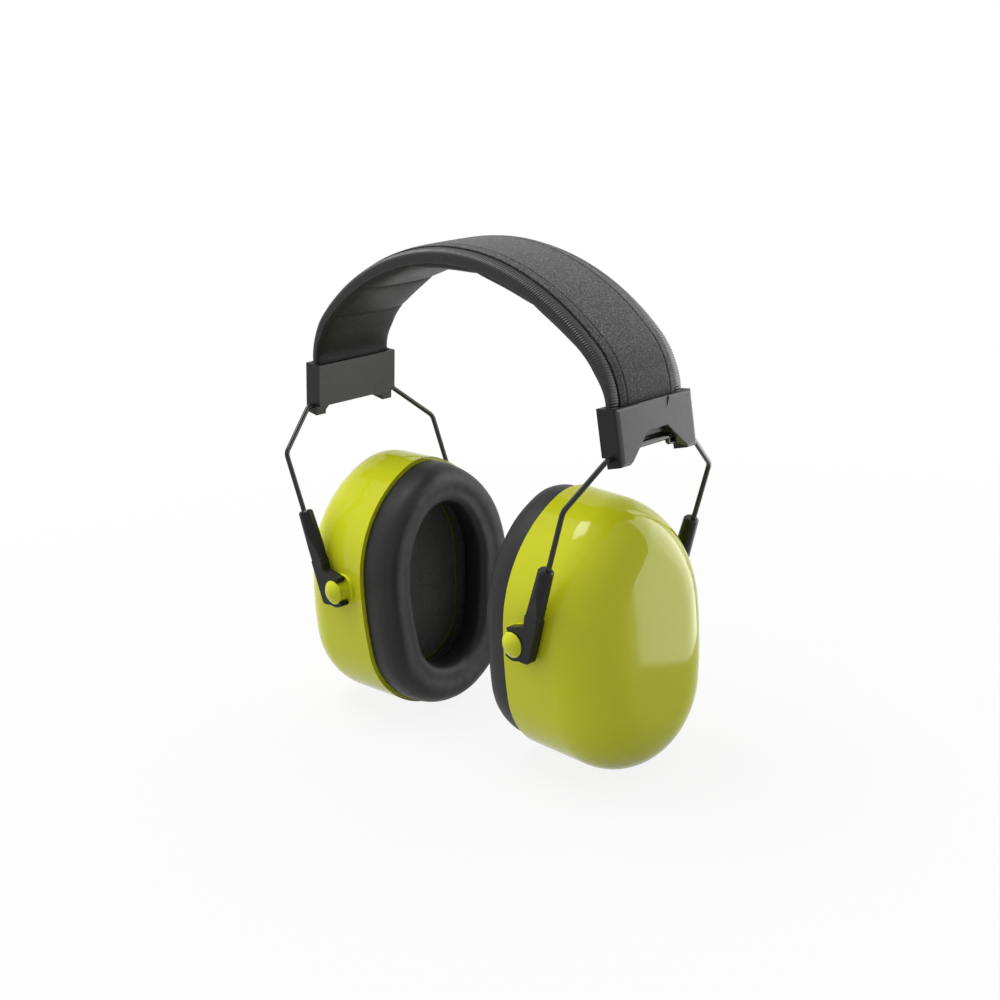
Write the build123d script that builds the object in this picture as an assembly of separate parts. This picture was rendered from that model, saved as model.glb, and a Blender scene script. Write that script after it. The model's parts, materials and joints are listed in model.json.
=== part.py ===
from build123d import *
import os
from math import atan2, cos, radians, sin

# Hearing protection earmuffs: two lime cups on wire bails, under a padded headband.
# Millimetres.  X runs from ear to ear and Y fore and aft, and Z is up.  Names say right for +X and left
# for -X, as seen from the front, which is the -Y side.  The origin is midway between the ears, on the
# axis through the cup pivots.

os.makedirs("parts", exist_ok=True)

# ---------------------------------------------------------------- driving sizes
# ear cups, given for the right-hand (+X) cup with its rim plane upright
ear_gap = 52.6            # clear space between the two cushions' sealing faces
cup_half_width = 37.1     # shell rim, from the middle to the front or rear
cup_rise = 45.1           # shell rim, from its widest level to the top
cup_drop = 59.8           # shell rim, from its widest level to the bottom
cup_top_radius = 22.0     # end radius of the rim outline at the top
cup_bottom_radius = 35.0  # end radius of the rim outline at the bottom
cup_depth = 49.3          # from the rim plane to the level of the dome's crown
cup_wall = 2.4
dome_radius = 700.0       # the nearly flat outer face
dome_low = 92.0           # how far the dome's crown lies below the widest level
shoulder_radius = 21.0    # rounding between the side and the outer face
cup_lean_deg = {"right": 4.2, "left": -0.7}   # how each cup hangs, top outward positive

# cushion, its carrier plate and the sound-absorbing liner
cushion_thickness = 12.4
cushion_inset = 2.0       # the cushion's outline lies this far inside the shell's rim
cushion_width = 16.2      # width of the ring between its outline and the ear opening
opening_top_radius = 15.0 # end radius of the ear opening at the top
opening_bottom_radius = 17.0
cushion_round = 6.0
cushion_skin = 1.0
plate_thickness = 1.6
plate_inset = 2.4         # the plate's edge lies this far inside the shell's rim
plate_lip = 2.2           # the plate's opening is this much wider than the cushion's, each side
spigot_length = 3.2
spigot_wall = 1.8
snap_clearance = 0.45     # between the spigot and the shell's inner wall at the rim
liner_setback = 6.2       # from the rim plane to the face of the foam liner
liner_clearance = 0.6     # between the foam liner and the shell
trim_ring_width = 0.4
trim_ring_height = 0.5

# pivots between the arms and the cups
pin_setback = 10.2        # from the rim plane to the pivot axis
pin_below_widest = 3.4    # the pivot axis lies below the rim outline's widest level
boss_radius = 6.4
boss_face_y = 38.3        # outer face of the shell's boss
journal_radius = 4.4
button_radius = 4.9
button_crown = 2.1        # height of the button's domed head
stem_radius = 2.0
stem_length = 3.6
pivot_clearance = 0.06
press_clearance = 0.02
side_gap = 0.35           # arm to boss, and arm to the button's head

# arms
arm_span_y = 40.4         # wire leg, from the middle to the front or rear
arm_plate = 4.0           # thickness of the arm's foot along Y
arm_top_radius = 2.95
arm_low_radius = 3.5      # the tube's, where it meets the foot
arm_tube_in = 0.9         # the tube's axis lies this far inward of the wire
arm_length = 35.0         # from the tube's mouth down to the level of the pivot
tube_length = 23.0        # the tube part of the arm, from its mouth
round_to = 3.0            # the tube is round this far down, then its sides flatten
flat_from = 19.0          # and from here down they are level with the foot's faces
hook_radius = 6.5
claw_open_from_deg = 118.0
claw_open_to_deg = 228.0
spur_reach = 6.8          # from the pivot to the spur's tip
spur_root_up = 9.6        # the spur leaves the leg this far above the pivot's level
waist_up = 14.7           # the arm is narrowest this far above the pivot's level
waist_in = 4.3            # its inner edge there, from the leg's line
waist_out = 2.6           # its outer edge there
heel_down = 3.6           # the heel's corner is this far below the pivot's level
heel_out = 3.0            # and this far out from the leg's line
heel_corner = 2.0         # rounding of that corner
toe_down = 5.9            # the foot's lower edge runs towards a point this far below the pivot
foot_corner = 0.6         # rounding of the foot's corners
foot_edge = 0.35          # bevel round the foot's outer face
wire_bore_depth = 33.0
mouth_chamfer = 0.7

# wire bails
wire_radius = 1.0
wire_lean_deg = 20.0      # the bail's plane leans inward going down
pin_drop = 75.6           # from the bail's hinge line to the pivot, along the wire leg
pin_inset = 6.2           # from the wire leg's line inward to the pivot
shoulder_beyond = 2.4     # the hinge run ends this far outside the bracket
leg_start = 16.2          # the legs start this far below the hinge line
wire_engaged = 20.0       # length of leg inside the arm
crank_half = 8.8
crank_rise = 3.0
crank_run = 1.2
crank_bend = 1.3
shoulder_bend = 2.6
leg_bend = 4.0
hinge_clearance = 0.06

# brackets at the ends of the headband
bracket_beyond_band = 0.6 # the bracket stands this far proud of the band's edge
bracket_below = 3.9       # from the hinge line down to the bottom edge
bracket_above = 18.2      # from the hinge line up to the top edge
bracket_outside = 3.1     # from the hinge line out to the outer face's top edge
bracket_lean_out = 2.4    # the outer face's bottom edge stands this much further out
bracket_top_depth = 9.5
bracket_bottom_depth = 7.2
bracket_wall_outer = 1.8
bracket_wall_inner = 1.3
bracket_wall_end = 1.3
bracket_bottom_rise = 1.6 # the outer face's bottom edge lies this far above the feet's inner edge
inner_wall_up = 3.8       # the inner wall ends this far above the feet
foot_setback = 2.0        # the feet stand this far back from the inner face
foot_slope = 0.5
bracket_corner = 1.6
bracket_edge = 0.3        # bevel of the outer face's edges
notch_plateau_half = 5.2
notch_foot_half = 15.6
notch_height = 10.1       # from the outer face's bottom edge up to the plateau
recess_top_half = 8.2
recess_bottom_half = 5.8
recess_height = 4.2
recess_depth = 0.9        # at the top edge, running out at the bottom

# headband
crown_rise = 70.0         # from the hinge line up to the band's outer crown
band_width = 40.0
band_side_gap = 0.15      # between the band's edge and the bracket's end wall
band_crown_thickness = 9.2
band_end_thickness = 4.8
band_end_gap = 0.8        # outer cover to the bracket's outer wall
haunch_start_deg = 45.0   # where the crown's arc turns into the tighter haunch
band_straight = 6.6       # straight length of the band inside each bracket
edge_roll = 2.2           # width of the sewn roll along each edge
edge_round = 1.4
cover_thickness = 1.4
strip_thickness = 0.8
strip_width = 22.0
strip_tail_length = 4.8   # length of spring strip gripped by each anchor
anchor_height = 6.4
anchor_clearance = 0.15
rivet_spacing = 12.0
rivet_radius = 1.2
rivet_head_radius = 2.1
rivet_head = 0.5
rivet_clearance = 0.02

# ---------------------------------------------------------------- places worked out from them
plate_face_x = ear_gap / 2 + cushion_thickness
rim_x = plate_face_x + plate_thickness
pin_x = rim_x + pin_setback
widest_z = pin_below_widest
lean = radians(wire_lean_deg)
down_leg = Vector(-sin(lean), 0, -cos(lean))
inward = Vector(-cos(lean), 0, sin(lean))
pin = Vector(pin_x, 0, 0)
hinge = pin - inward * pin_inset - down_leg * pin_drop
hinge_x, hinge_z = hinge.X, hinge.Z

bracket_half_width = band_width / 2 + bracket_beyond_band
band_end_half = bracket_half_width - bracket_wall_end - band_side_gap
shoulder_y = bracket_half_width + shoulder_beyond
bracket_outer_x = hinge_x + bracket_outside
bracket_bottom_z = hinge_z - bracket_below
bracket_top_z = hinge_z + bracket_above
bracket_lip_z = bracket_bottom_z + bracket_bottom_rise
cavity_outer_x = bracket_outer_x - bracket_wall_outer

band_outer_x = cavity_outer_x - band_end_gap
band_inner_x = band_outer_x - band_end_thickness
band_crown_z = hinge_z + crown_rise
band_shoulder_z = bracket_top_z
band_end_z = bracket_top_z - band_straight

rivet_ys = (-rivet_spacing / 2, rivet_spacing / 2)
rivet_z = band_end_z - strip_tail_length / 2
rivet_outer_x = cavity_outer_x - anchor_clearance


def xz_prism(sketch, y_from, y_to):
    """The XZ outline pushed along Y between two levels."""
    plane = Plane(origin=(0, y_from, 0), x_dir=(1, 0, 0), z_dir=(0, -1, 0))
    return extrude(plane * sketch, amount=-(y_to - y_from))


def yz_plane(x):
    """Sketch plane at a level of X, with sketch x along +Y and sketch y along +Z."""
    return Plane(origin=(x, 0, 0), x_dir=(0, 1, 0), z_dir=(1, 0, 0))


def yz_prism(sketch, x_from, x_to):
    """The YZ outline pushed along X between two levels."""
    return extrude(yz_plane(x_from) * sketch, amount=x_to - x_from)


# ---------------------------------------------------------------- headband
def arch_edges(half_span, crown_z):
    """Half-round of the band: straight end, haunch arc, crown arc and back, as a list of edges."""
    turn = radians(haunch_start_deg)
    rise = crown_z - band_shoulder_z
    haunch_r = (rise - half_span * (1 - cos(turn)) / sin(turn)) / (1 - (1 - cos(turn)) / sin(turn))
    crown_r = haunch_r + (half_span - haunch_r) / sin(turn)
    crown_c = crown_z - crown_r
    knee = (crown_r * sin(turn), crown_c + crown_r * cos(turn))
    haunch_c = (half_span - haunch_r, band_shoulder_z)
    half_turn = turn + (radians(90) - turn) / 2
    haunch_mid = (haunch_c[0] + haunch_r * sin(half_turn), haunch_c[1] + haunch_r * cos(half_turn))
    return [
        Line((-half_span, band_end_z), (-half_span, band_shoulder_z)),
        ThreePointArc((-half_span, band_shoulder_z), (-haunch_mid[0], haunch_mid[1]), (-knee[0], knee[1])),
        ThreePointArc((-knee[0], knee[1]), (0, crown_z), knee),
        ThreePointArc(knee, haunch_mid, (half_span, band_shoulder_z)),
        Line((half_span, band_shoulder_z), (half_span, band_end_z)),
    ]


def outer_arch(depth):
    return arch_edges(band_outer_x - depth, band_crown_z - depth)


def inner_arch(height):
    return arch_edges(band_inner_x + height, band_crown_z - band_crown_thickness + height)


def band_layer(outer, inner, half_width):
    """The solid between two arches."""
    ends = [Line(outer[0] @ 0, inner[0] @ 0), Line(outer[-1] @ 1, inner[-1] @ 1)]
    face = make_face(outer + inner + ends)
    return xz_prism(face, -half_width, half_width)


def band_plan(inset):
    """Front-to-back limits of the band, seen along X: it narrows towards the brackets."""
    crown_half = band_width / 2 - inset
    end_half = band_end_half - inset
    low, high = band_end_z - 1, band_crown_z + 1
    taper_top = bracket_top_z + band_width
    right = [(end_half, low), (end_half, bracket_top_z), (crown_half, taper_top), (crown_half, high)]
    left = [(-y, z) for y, z in reversed(right)]
    reach = band_outer_x + 1
    return yz_prism(make_face(Polyline(*right, *left, close=True)), -reach, reach)


def make_headband():
    """Spring strip, foam, two covers and two sewn edge rolls."""
    core_plan = band_plan(edge_roll)
    whole = band_layer(outer_arch(0), inner_arch(0), band_width / 2)
    long_edges = whole.edges().filter_by(lambda e: abs(abs(e.center().Y) - band_width / 2) < 0.01)
    whole = fillet([e for e in long_edges if e.length > band_end_thickness * 1.4], edge_round)
    rolls = (whole & band_plan(0)) - core_plan
    front_roll, rear_roll = sorted(rolls.solids(), key=lambda s: s.center().Y)

    outer_cover = band_layer(outer_arch(0), outer_arch(cover_thickness), band_width / 2) & core_plan
    inner_cover = band_layer(inner_arch(cover_thickness), inner_arch(0), band_width / 2) & core_plan
    strip = band_layer(outer_arch(cover_thickness), outer_arch(cover_thickness + strip_thickness),
                       strip_width / 2)
    foam = band_layer(outer_arch(cover_thickness), inner_arch(cover_thickness), band_width / 2)
    foam = (foam & core_plan) - strip
    strip += [strip_tail(side) for side in (1, -1)]
    return {
        "headband_spring_strip": strip,
        "headband_foam": foam,
        "headband_outer_cover": outer_cover,
        "headband_inner_cover": inner_cover,
        "headband_front_edge_roll": front_roll,
        "headband_rear_edge_roll": rear_roll,
    }


def strip_tail(side):
    """The end of the spring strip below the padding, on the +X or the -X side, with its rivet holes."""
    middle_x = band_outer_x - cover_thickness - strip_thickness / 2
    tail = Pos(middle_x, 0, band_end_z - strip_tail_length / 2) * Box(strip_thickness, strip_width,
                                                                    strip_tail_length)
    tail -= [rivet_line(y) * Cylinder(rivet_radius + rivet_clearance, strip_width) for y in rivet_ys]
    return tail if side > 0 else mirror(tail, about=Plane.YZ)


# ---------------------------------------------------------------- brackets
def bracket_share(z):
    """How far down the bracket a level lies, from 0 at its top edge to 1 at its bottom edge."""
    return (bracket_top_z - z) / (bracket_above + bracket_below)


def bracket_inner_x(z):
    """Inner face of the bracket, which slopes outward going down."""
    return bracket_outer_x - bracket_top_depth + (bracket_top_depth - bracket_bottom_depth) * bracket_share(z)


def bracket_face_x(z):
    """Outer face of the bracket, which leans outward going down."""
    return bracket_outer_x + bracket_lean_out * bracket_share(z)


rivet_inner_x = bracket_inner_x(rivet_z - rivet_head_radius) + bracket_wall_inner + anchor_clearance


def bracket_cavity(clearance, z_from, z_to):
    """The space inside the bracket between two levels, made smaller by a clearance."""
    corners = [
        (cavity_outer_x - clearance, z_from),
        (cavity_outer_x - clearance, z_to),
        (bracket_inner_x(z_to) + bracket_wall_inner + clearance, z_to),
        (bracket_inner_x(z_from) + bracket_wall_inner + clearance, z_from),
    ]
    half = bracket_half_width - bracket_wall_end - clearance
    return xz_prism(make_face(Polyline(*corners, close=True)), -half, half)


def notch_outline(bottom):
    """The notch between the bracket's two feet, in the YZ plane, open below a level."""
    notch = [
        (notch_foot_half, bottom),
        (notch_foot_half, bracket_lip_z),
        (notch_plateau_half, bracket_lip_z + notch_height),
    ]
    notch += [(-y, z) for y, z in reversed(notch)]
    return make_face(Polyline(*notch, close=True))


def make_bracket():
    """One-piece sleeve: band end in at the top, wire through the two solid feet at the bottom."""
    inner_end = bracket_bottom_z + inner_wall_up
    step_x = bracket_inner_x(inner_end) + foot_setback
    corners = [
        (bracket_face_x(bracket_lip_z), bracket_lip_z),
        (bracket_outer_x, bracket_top_z),
        (bracket_inner_x(bracket_top_z), bracket_top_z - recess_depth),
        (bracket_inner_x(inner_end), inner_end),
        (step_x, inner_end),
        (step_x + foot_slope, bracket_bottom_z),
    ]
    body = xz_prism(make_face(Polyline(*corners, close=True)), -bracket_half_width, bracket_half_width)

    def on_face(edge):
        return all(abs(v.X - bracket_face_x(v.Z)) < 0.01 for v in edge.vertices())

    def at_end(edge):
        return all(abs(v.Y) > bracket_half_width - 0.01 for v in edge.vertices())

    body = fillet(body.edges().filter_by(lambda e: on_face(e) and at_end(e)), bracket_corner)

    shelf_z = band_end_z - anchor_height - anchor_clearance
    body -= bracket_cavity(0, shelf_z, bracket_top_z + 1)
    low_room = bracket_cavity(0, bracket_bottom_z - 1, shelf_z)
    body -= low_room & yz_prism(notch_outline(bracket_bottom_z - 1), 0, bracket_outer_x)
    body -= yz_prism(notch_outline(bracket_bottom_z - 1), cavity_outer_x - 1,
                     bracket_face_x(bracket_bottom_z) + 1)
    body = chamfer(body.edges().filter_by(on_face), bracket_edge)

    recess = [
        (recess_top_half, 1),
        (recess_top_half, 0),
        (recess_bottom_half, -recess_height),
    ]
    recess += [(-y, z) for y, z in reversed(recess)]
    recess = [(y, bracket_top_z + z) for y, z in recess]
    recess_end_z = bracket_top_z - recess_height
    wedge = [
        (bracket_outer_x - recess_depth, bracket_top_z + 1),
        (bracket_outer_x - recess_depth, bracket_top_z),
        (bracket_face_x(recess_end_z), recess_end_z),
        (bracket_face_x(recess_end_z) + 1, bracket_top_z + 1),
    ]
    wedge = xz_prism(make_face(Polyline(*wedge, close=True)), -recess_top_half, recess_top_half)
    body -= wedge & yz_prism(make_face(Polyline(*recess, close=True)), 0, bracket_face_x(recess_end_z) + 1)

    crank_reach = crank_rise + wire_radius + side_gap
    crank_room = Cylinder(crank_reach, 2 * (crank_half + wire_radius + side_gap), rotation=(90, 0, 0))
    wire_hole = Cylinder(wire_radius + hinge_clearance, 3 * bracket_half_width, rotation=(90, 0, 0))
    crank_room -= Pos(-wire_radius - side_gap, 0, 0) * Box(crank_reach, 3 * crank_half, 2 * crank_reach,
                                                           align=(Align.MAX, Align.CENTER, Align.CENTER))
    body -= Pos(hinge_x, 0, hinge_z) * crank_room
    body -= Pos(hinge_x, 0, hinge_z) * wire_hole
    return body


def make_anchor():
    """Plug riveted to the spring strip's end, which fills the bracket below the padding."""
    plug = bracket_cavity(anchor_clearance, band_end_z - anchor_height, band_end_z)
    slot = Pos(band_outer_x - cover_thickness - strip_thickness / 2, 0, band_end_z - strip_tail_length / 2)
    plug -= slot * Box(strip_thickness, strip_width, strip_tail_length)
    for y in rivet_ys:
        plug -= rivet_line(y) * Cylinder(rivet_radius + rivet_clearance, strip_width)
        plug -= rivet_heads(y, rivet_clearance)
    return plug


def rivet_line(y):
    """Frame on a rivet's axis, z along +X, with its origin on the hinge's X level."""
    return Pos(hinge_x, y, rivet_z) * Rot(0, 90, 0)


def rivet_heads(y, clearance):
    """The two heads of a rivet, sunk flush with the plug's faces."""
    radius = rivet_head_radius + clearance
    depth = rivet_head + clearance
    inner = Pos(rivet_inner_x + depth / 2, y, rivet_z) * Rot(0, 90, 0) * Cylinder(radius, depth)
    outer = Pos(rivet_outer_x - depth / 2, y, rivet_z) * Rot(0, 90, 0) * Cylinder(radius, depth)
    return [inner, outer]


def make_rivets():
    """Two rivets through the plug and the strip, as separate solids."""
    length = rivet_outer_x - rivet_inner_x
    middle = (rivet_outer_x + rivet_inner_x) / 2
    shanks = [Pos(middle, y, rivet_z) * Rot(0, 90, 0) * Cylinder(rivet_radius, length) for y in rivet_ys]
    return [shank + rivet_heads(y, 0) for shank, y in zip(shanks, rivet_ys)]


# ---------------------------------------------------------------- wire bail and arms
def bail_plane(offset=0.0):
    """Plane of the bail: x along +Y, y up along the legs, origin on the hinge line."""
    return Plane(origin=hinge + down_leg * offset, x_dir=(0, 1, 0), z_dir=(cos(lean), 0, -sin(lean)))


leg_end = pin_drop - arm_length + wire_engaged


def make_bail():
    """One bent wire: hinge run with a crank, two shoulders and two straight legs."""
    crank_foot = crank_half + crank_run
    half = [
        (crank_half, crank_rise),
        (crank_foot, 0),
        (shoulder_y, 0),
        (arm_span_y, -leg_start),
        (arm_span_y, -leg_end),
    ]
    bends = [crank_bend, crank_bend, shoulder_bend, leg_bend]
    points = [(-y, z) for y, z in reversed(half)] + half
    path = bail_plane() * FilletPolyline(*points, radius=list(reversed(bends)) + bends)
    path = Wire(path.edges())
    return sweep(Plane(origin=path @ 0, z_dir=path % 0) * Circle(wire_radius), path=path)


def claw_outline():
    """Foot of the arm in the XZ plane, about the pivot: a hook with a spur over the button."""

    def beside_leg(up, out):
        """A point a distance up the leg from the pivot's level and out from the leg's line."""
        p = inward * (-pin_inset - out) - down_leg * up
        return (p.X, p.Z)

    start, end = radians(claw_open_from_deg), radians(claw_open_to_deg)
    polygon = [
        (spur_reach * cos(start), spur_reach * sin(start)),
        beside_leg(spur_root_up, -arm_low_radius),
        beside_leg(waist_up, -waist_in),
        beside_leg(waist_up, waist_out),
        beside_leg(-heel_down, heel_out),
        (0, -toe_down),
        (0, 0),
    ]
    outline = make_face(Polyline(*polygon, close=True)) + Circle(hook_radius)
    far = 4 * hook_radius
    opening = [(0, 0)] + [(far * cos(t), far * sin(t)) for t in (start, (start + end) / 2, end)]
    outline -= make_face(Polyline(*opening, close=True))
    return outline - Circle(journal_radius + pivot_clearance)


arm_plate_from = boss_face_y + side_gap
arm_plate_to = arm_plate_from + arm_plate


def across_foot(foot):
    """The edges that run across the foot's thickness, with the heel's last."""
    across = foot.edges().filter_by(lambda e: abs(e.length - arm_plate) < 0.01)
    return across.sort_by(lambda e: e.center().X - e.center().Z)


def make_arm():
    """The rear (+Y) arm: a tube that takes the wire leg, flattening into a claw round the pivot."""
    foot = xz_prism(claw_outline(), arm_plate_from, arm_plate_to)
    foot = fillet(across_foot(foot)[:-1], foot_corner)
    foot = fillet(across_foot(foot)[-1], heel_corner)
    outer_edges = foot.edges().filter_by(lambda e: abs(e.center().Y - arm_plate_to) < 0.01)
    foot = Pos(pin_x, 0, 0) * chamfer(outer_edges, foot_edge)
    mouth = hinge + down_leg * (pin_drop - arm_length) + Vector(0, arm_span_y, 0)
    up_leg = Plane(origin=mouth, x_dir=(0, 1, 0), z_dir=-down_leg)
    tube = Cone(arm_low_radius, arm_top_radius, tube_length, align=(Align.CENTER, Align.CENTER, Align.MAX))
    tube = chamfer(tube.edges().sort_by(Axis.Z)[-1], mouth_chamfer)
    near = arm_plate_from - arm_span_y
    far = arm_plate_to - arm_span_y
    wide = arm_top_radius + 1
    flats = [
        (near, -tube_length), (far, -tube_length), (far, -flat_from),
        (wide, -round_to), (wide, 1), (-wide, 1), (-wide, -round_to), (near, -flat_from),
    ]
    tube &= extrude(Plane.XZ * make_face(Polyline(*flats, close=True)), amount=2 * arm_low_radius, both=True)
    arm = foot + up_leg * Pos(0, arm_tube_in, 0) * tube
    return arm - up_leg * Cylinder(wire_radius + pivot_clearance, 2 * wire_bore_depth)


# ---------------------------------------------------------------- cups
def oval(half, ends):
    """Outline in the YZ plane from its half width and the reach and radius of its two ends."""
    edges = []
    for (reach, end_r), up in zip(ends, (1, -1)):
        end_c = reach - end_r
        side_r = (half ** 2 + end_c ** 2 - end_r ** 2) / (2 * (half - end_r))
        side_c = half - side_r
        turn = atan2(end_c, -side_c)
        knee = (end_r * cos(turn), end_c + end_r * sin(turn))
        mid = (side_c + side_r * cos(turn / 2), side_r * sin(turn / 2))
        for s in (1, -1):
            widest, middle, tip = (s * half, 0), (s * mid[0], up * mid[1]), (s * knee[0], up * knee[1])
            edges.append(ThreePointArc(widest, middle, tip))
        edges.append(ThreePointArc((knee[0], up * knee[1]), (0, up * reach), (-knee[0], up * knee[1])))
    return Pos(0, widest_z) * make_face(edges)


def egg(inset):
    """Outline of the cup's rim, smaller by an inset."""
    top = (cup_rise - inset, cup_top_radius - inset)
    bottom = (cup_drop - inset, cup_bottom_radius - inset)
    return oval(cup_half_width - inset, (top, bottom))


def ear_opening(margin):
    """Outline of the cushion's opening, larger by a margin."""
    inset = cushion_inset + cushion_width - margin
    top = (cup_rise - inset, opening_top_radius + margin)
    bottom = (cup_drop - inset, opening_bottom_radius + margin)
    return oval(cup_half_width - inset, (top, bottom))


def cup_form(inset):
    """The shell's outer form made smaller by an inset: a straight side under a shallow dome."""
    side = yz_prism(egg(inset), rim_x, rim_x + cup_depth + 1)
    ball = Pos(rim_x + cup_depth - dome_radius, 0, widest_z - dome_low) * Sphere(dome_radius - inset)
    body = side & ball
    return fillet(body.edges().filter_by(lambda e: e.center().X > pin_x), shoulder_radius - inset)


def make_shell():
    """Hollow cup with a boss at the front and the rear for the pivot buttons."""
    outer = cup_form(0)
    inner = cup_form(cup_wall)
    boss = Pos(pin_x, 0, 0) * Cylinder(boss_radius, 2 * boss_face_y, rotation=(90, 0, 0))
    shell = outer + boss - inner
    bore = Pos(pin_x, 0, 0) * Cylinder(stem_radius + press_clearance, 3 * boss_face_y, rotation=(90, 0, 0))
    return shell - bore


def make_button():
    """Rear pivot button: stem in the boss, journal for the arm, domed head."""
    journal_end = arm_plate_to + side_gap
    stem = Cylinder(stem_radius, stem_length + 1, align=(Align.CENTER, Align.CENTER, Align.MIN))
    journal = Cylinder(journal_radius, journal_end - boss_face_y,
                       align=(Align.CENTER, Align.CENTER, Align.MIN))
    ball_r = (button_radius ** 2 + button_crown ** 2) / (2 * button_crown)
    head = Pos(0, 0, journal_end - boss_face_y) * Cylinder(button_radius, button_crown,
                                                         align=(Align.CENTER, Align.CENTER, Align.MIN))
    head &= Pos(0, 0, journal_end - boss_face_y + button_crown - ball_r) * Sphere(ball_r)
    button = Pos(0, 0, -stem_length) * stem + journal + head
    return Plane(origin=(pin_x, boss_face_y, 0), x_dir=(1, 0, 0), z_dir=(0, 1, 0)) * button


def make_plate():
    """Carrier plate on the shell's rim, with a spigot that snaps inside it."""
    flange = yz_prism(egg(plate_inset), rim_x - plate_thickness, rim_x)
    outer = cup_wall + snap_clearance
    spigot = yz_prism(egg(outer), rim_x, rim_x + spigot_length)
    spigot -= yz_prism(egg(outer + spigot_wall), rim_x, rim_x + spigot_length)
    return flange - yz_prism(ear_opening(plate_lip), rim_x - plate_thickness, rim_x) + spigot


def cushion_form(skin):
    """Ring cushion, made smaller by the skin's thickness, with its open side against the plate."""
    face_x = plate_face_x - cushion_thickness + skin
    ring = yz_prism(egg(cushion_inset + skin), face_x, plate_face_x)
    ring -= yz_prism(ear_opening(skin), face_x, plate_face_x)
    front = ring.edges().filter_by(lambda e: abs(e.center().X - face_x) < 0.01)
    return fillet(front, cushion_round - skin)


def make_liner():
    """Foam block that fills the shell behind the ear space."""
    room = cup_form(cup_wall + liner_clearance)
    front = Pos(rim_x + liner_setback, 0, widest_z) * Box(cup_depth, 2 * cup_rise, 4 * cup_rise,
                                                        align=(Align.MIN, Align.CENTER, Align.CENTER))
    return room & front


def make_trim_ring():
    """Thin lime ring that holds the liner's edge, seen through the ear opening."""
    back = rim_x + liner_setback
    ring = yz_prism(ear_opening(plate_lip), back - trim_ring_height, back)
    return ring - yz_prism(ear_opening(plate_lip - trim_ring_width), back - trim_ring_height, back)


def make_cup():
    """All the pieces that tilt together on the +X side, with the rim plane upright."""
    foam = cushion_form(cushion_skin)
    rear_button = make_button()
    return {
        "cup_shell": make_shell(),
        "front_pivot_button": mirror(rear_button, about=Plane.XZ),
        "rear_pivot_button": rear_button,
        "cushion_plate": make_plate(),
        "ear_cushion_skin": cushion_form(0) - foam,
        "ear_cushion_foam": foam,
        "foam_liner": make_liner(),
        "liner_trim_ring": make_trim_ring(),
    }


# ---------------------------------------------------------------- whole object
def lean_cup(piece, side):
    """Turns a cup's piece about the pivot axis to the lean of its side."""
    return Pos(pin_x, 0, 0) * Rot(0, cup_lean_deg[side], 0) * Pos(-pin_x, 0, 0) * piece


def place(piece, side):
    return piece if side == "right" else mirror(piece, about=Plane.YZ)


def write(name, piece):
    solids = piece if isinstance(piece, list) else piece.solids()
    shape = solids[0] if len(solids) == 1 else Compound(children=list(solids))
    export_step(shape, f"parts/{name}.step")


nodes = make_headband()
arm = make_arm()
one_side = {
    "bracket": make_bracket(),
    "strip_anchor": make_anchor(),
    "wire_bail": make_bail(),
    "front_arm": mirror(arm, about=Plane.XZ),
    "rear_arm": arm,
}
cup = make_cup()
for side in ("right", "left"):
    for name, piece in one_side.items():
        nodes[f"{side}_{name}"] = place(piece, side)
    for name, piece in cup.items():
        nodes[f"{side}_{name}"] = place(lean_cup(piece, side), side)
    nodes[f"{side}_strip_rivets"] = [place(rivet, side) for rivet in make_rivets()]

for name, piece in nodes.items():
    write(name, piece)
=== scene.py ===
import json
import math

import bmesh
import bpy
import numpy as np
from mathutils import Matrix, Vector


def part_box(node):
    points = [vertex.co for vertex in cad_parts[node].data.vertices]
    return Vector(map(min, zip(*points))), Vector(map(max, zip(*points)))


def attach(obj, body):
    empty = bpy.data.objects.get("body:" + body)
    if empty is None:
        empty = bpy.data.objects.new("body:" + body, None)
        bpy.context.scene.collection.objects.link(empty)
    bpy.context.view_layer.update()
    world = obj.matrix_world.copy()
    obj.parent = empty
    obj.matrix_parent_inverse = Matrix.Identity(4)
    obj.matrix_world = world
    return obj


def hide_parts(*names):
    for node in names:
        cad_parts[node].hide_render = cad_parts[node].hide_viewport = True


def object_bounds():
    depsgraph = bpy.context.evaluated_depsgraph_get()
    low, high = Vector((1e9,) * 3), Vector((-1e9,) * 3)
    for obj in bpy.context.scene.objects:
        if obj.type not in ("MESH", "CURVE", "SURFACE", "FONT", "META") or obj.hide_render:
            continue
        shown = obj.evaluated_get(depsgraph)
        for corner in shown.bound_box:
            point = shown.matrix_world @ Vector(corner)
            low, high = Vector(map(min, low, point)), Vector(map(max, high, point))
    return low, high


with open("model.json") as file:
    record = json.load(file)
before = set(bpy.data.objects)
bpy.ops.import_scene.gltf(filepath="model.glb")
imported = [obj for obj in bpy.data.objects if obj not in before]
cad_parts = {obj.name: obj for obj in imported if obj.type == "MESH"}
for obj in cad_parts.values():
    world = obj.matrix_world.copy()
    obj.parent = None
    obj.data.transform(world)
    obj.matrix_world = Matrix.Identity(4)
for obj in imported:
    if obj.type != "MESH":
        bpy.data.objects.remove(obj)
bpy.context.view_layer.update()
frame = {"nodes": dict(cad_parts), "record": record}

# Looks of the earmuffs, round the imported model.  Metres; lengths below are millimetres times MM.
MM = 0.001
nodes = frame["nodes"]
SIDES = {"right": 1.0, "left": -1.0}

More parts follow.
